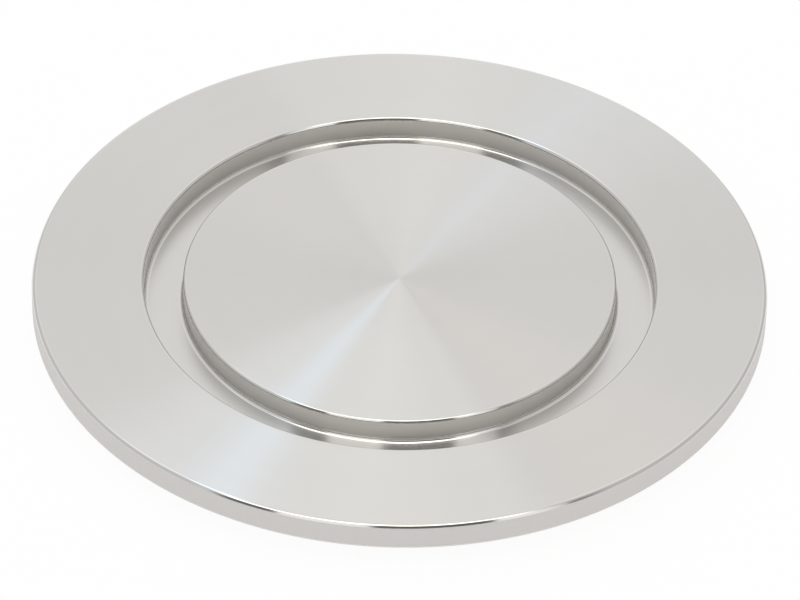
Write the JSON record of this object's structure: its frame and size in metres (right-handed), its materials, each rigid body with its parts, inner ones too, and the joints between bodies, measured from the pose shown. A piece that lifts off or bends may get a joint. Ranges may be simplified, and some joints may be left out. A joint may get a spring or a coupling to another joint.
{
  "type": "blind flange",
  "caption": "Solid round clamp-type vacuum blanking flange: flat sealing face with an annular centring recess around a raised plateau, straight rim and tapered back.",
  "frame": {"origin": "centre of the flat back hub, on the turning axis", "axes": "+Z along the turning axis, out of the sealing face; X and Y lie in the plane of the back hub, and the disc is the same all round"},
  "size_m": [0.075, 0.075, 0.005],
  "materials": {
    "turned_steel": "fine-turned faces with concentric tool marks, polished edge radii, satin rim"
  },
  "bodies": {
    "root": {"flange_disc": "turned_steel"}
  },
  "joints": []
}
